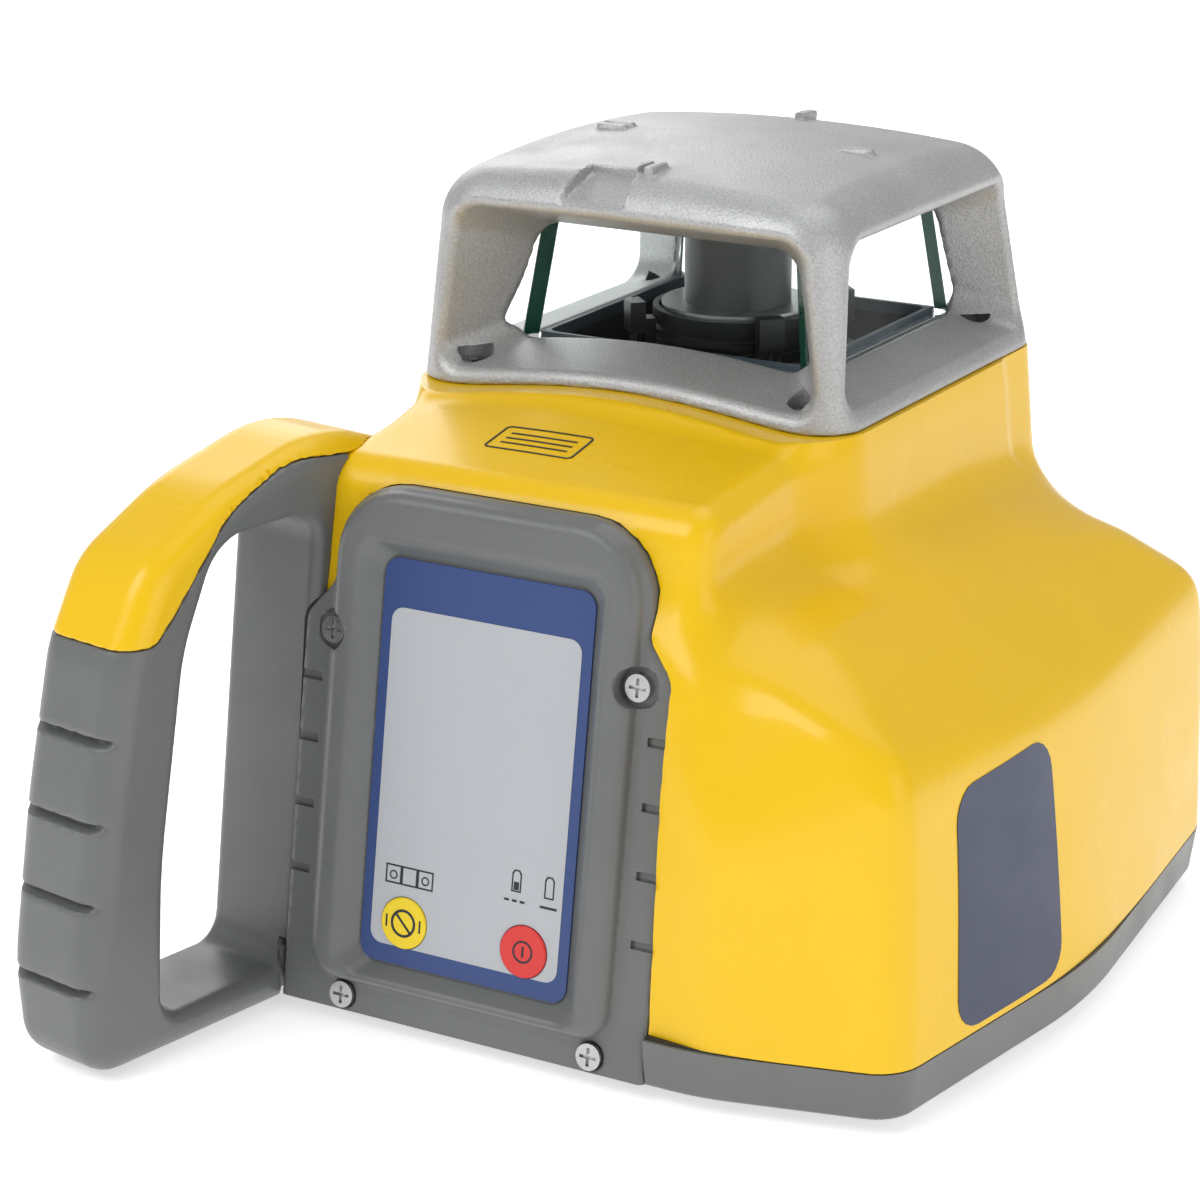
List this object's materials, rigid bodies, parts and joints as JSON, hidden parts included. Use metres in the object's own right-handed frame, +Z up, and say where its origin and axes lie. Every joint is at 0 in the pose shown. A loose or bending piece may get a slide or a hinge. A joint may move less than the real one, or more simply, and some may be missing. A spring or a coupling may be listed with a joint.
{
  "type": "rotating laser level",
  "caption": "Self-levelling rotating laser level with a glazed cast lighthouse, side battery housing, control panel and carrying handle.",
  "frame": {"origin": "mouth of the tripod thread on the rotor axis, level with the feet", "axes": "+Z up along the rotor axis, -Y towards the control panel, +X towards the battery housing"},
  "size_m": [0.208, 0.2571, 0.1963],
  "materials": {
    "yellow_plastic": "gloss",
    "grey_plastic": "satin",
    "cast_aluminium": "shot-blasted casting",
    "machined_aluminium": "machined",
    "steel": "zinc plated",
    "brass": "machined",
    "rubber": "matt",
    "window_glass": "clear, green edge",
    "optic_glass": "polished",
    "blue_overlay": "printed film",
    "red_plastic": "satin",
    "button_yellow": "satin",
    "black_plastic": "satin",
    "circuit_board": "solder mask",
    "shroud_grey": "matt",
    "cell_wrap": "printed wrap",
    "gasket_grey": "satin"
  },
  "bodies": {
    "housing": {"base_housing": "grey_plastic", "base_screws": "steel", "battery_cells": "cell_wrap", "battery_springs": "steel", "battery_tray": "black_plastic", "bezel_screws": "steel", "charge_jack": "black_plastic", "chassis": "machined_aluminium", "door_hinge_pin": "steel", "handle": "grey_plastic", "handle_cover": "yellow_plastic", "handle_screws": "steel", "housing_seal": "rubber", "inner_shroud": "shroud_grey", "insert_screws": "steel", "keypad_board": "circuit_board", "keypad_overlay": "blue_overlay", "level_motor_front": "steel", "lighthouse": "cast_aluminium", "lighthouse_screws": "steel", "main_board": "circuit_board", "panel_bezel": "grey_plastic", "rubber_feet": "rubber", "tripod_insert": "brass", "upper_housing": "yellow_plastic", "window_back": "window_glass", "window_front": "window_glass", "window_gasket": "gasket_grey", "window_left": "window_glass", "window_right": "window_glass"},
    "ring": {"gimbal_ring": "machined_aluminium", "pivot_pins": "steel", "level_motor_side": "steel"},
    "platform": {"platform": "black_plastic", "coil_ring": "black_plastic", "clip_blocks": "black_plastic", "clip_pins": "steel", "spindle_bearings": "steel", "drive_belt": "rubber", "drive_motor": "steel", "laser_cage": "machined_aluminium", "laser_module": "brass", "collimating_lens": "optic_glass", "level_vials": "optic_glass"},
    "rotor": {"spindle": "steel", "rotor_flange": "machined_aluminium", "rotor_head": "shroud_grey", "pentaprism": "optic_glass", "beam_window": "optic_glass", "rotor_pulley": "black_plastic"},
    "motor_pulley": {"motor_pulley": "brass"},
    "lead_screw_front": {"lead_screw_front": "steel"},
    "level_nut_front": {"level_nut_front": "brass"},
    "lead_screw_side": {"lead_screw_side": "steel"},
    "level_nut_side": {"level_nut_side": "brass"},
    "power_button": {"power_button": "red_plastic"},
    "mode_button": {"mode_button": "button_yellow"},
    "battery_door": {"battery_door": "grey_plastic"},
    "door_catch": {"door_catch": "black_plastic"},
    "jack_cap": {"jack_cap": "rubber"}
  },
  "joints": [
    {"name": "level_x", "type": "hinge", "parent": "housing", "child": "ring", "pos_m": [0, 0, 0.11], "axis": [1, 0, 0], "range_deg": [-5, 5]},
    {"name": "level_y", "type": "hinge", "parent": "ring", "child": "platform", "pos_m": [0, 0, 0.11], "axis": [0, 1, 0], "range_deg": [-5, 5]},
    {"name": "rotor_spin", "type": "hinge", "parent": "platform", "child": "rotor", "pos_m": [0, 0, 0.15], "axis": [0, 0, 1], "continuous": true},
    {"name": "motor_spin", "type": "hinge", "parent": "platform", "child": "motor_pulley", "pos_m": [-0.02079, -0.012, 0.1], "axis": [0, 0, 1], "continuous": true},
    {"name": "nut_front", "type": "slide", "parent": "housing", "child": "level_nut_front", "axis": [0, 0, 1], "range_m": [-0.0056, 0.0056]},
    {"name": "screw_front", "type": "hinge", "parent": "housing", "child": "lead_screw_front", "pos_m": [0, -0.062, 0.1], "axis": [0, 0, 1], "range_deg": [-1000, 1000]},
    {"name": "nut_side", "type": "slide", "parent": "ring", "child": "level_nut_side", "axis": [0, 0, 1], "range_m": [-0.0042, 0.0042]},
    {"name": "screw_side", "type": "hinge", "parent": "ring", "child": "lead_screw_side", "pos_m": [-0.046, 0.026, 0.115], "axis": [0, 0, 1], "range_deg": [-750, 750]},
    {"name": "power_press", "type": "slide", "parent": "housing", "child": "power_button", "axis": [0, 0.9877, -0.1564], "range_m": [0, 0.0006], "stiffness_N_per_m": 900},
    {"name": "mode_press", "type": "slide", "parent": "housing", "child": "mode_button", "axis": [0, 0.9877, -0.1564], "range_m": [0, 0.0006], "stiffness_N_per_m": 900},
    {"name": "door_swing", "type": "hinge", "parent": "housing", "child": "battery_door", "pos_m": [0.081, 0.0594, 0.0172], "axis": [-1, 0, 0], "range_deg": [0, 95]},
    {"name": "catch_turn", "type": "hinge", "parent": "battery_door", "child": "door_catch", "pos_m": [0.081, 0.0564, 0.0645], "axis": [0, 1, 0], "range_deg": [0, 90]},
    {"name": "cap_swing", "type": "hinge", "parent": "housing", "child": "jack_cap", "pos_m": [-0.054, 0.0586, 0.0455], "axis": [1, 0, 0], "range_deg": [0, 100]}
  ],
  "couplings": [
    {"joint": "motor_spin", "follows": "rotor_spin", "ratio": 2.875},
    {"joint": "nut_front", "follows": "level_x", "m_per_rad": -0.062},
    {"joint": "screw_front", "follows": "level_x", "ratio": -194.78},
    {"joint": "nut_side", "follows": "level_y", "m_per_rad": 0.046},
    {"joint": "screw_side", "follows": "level_y", "ratio": 144.51}
  ]
}
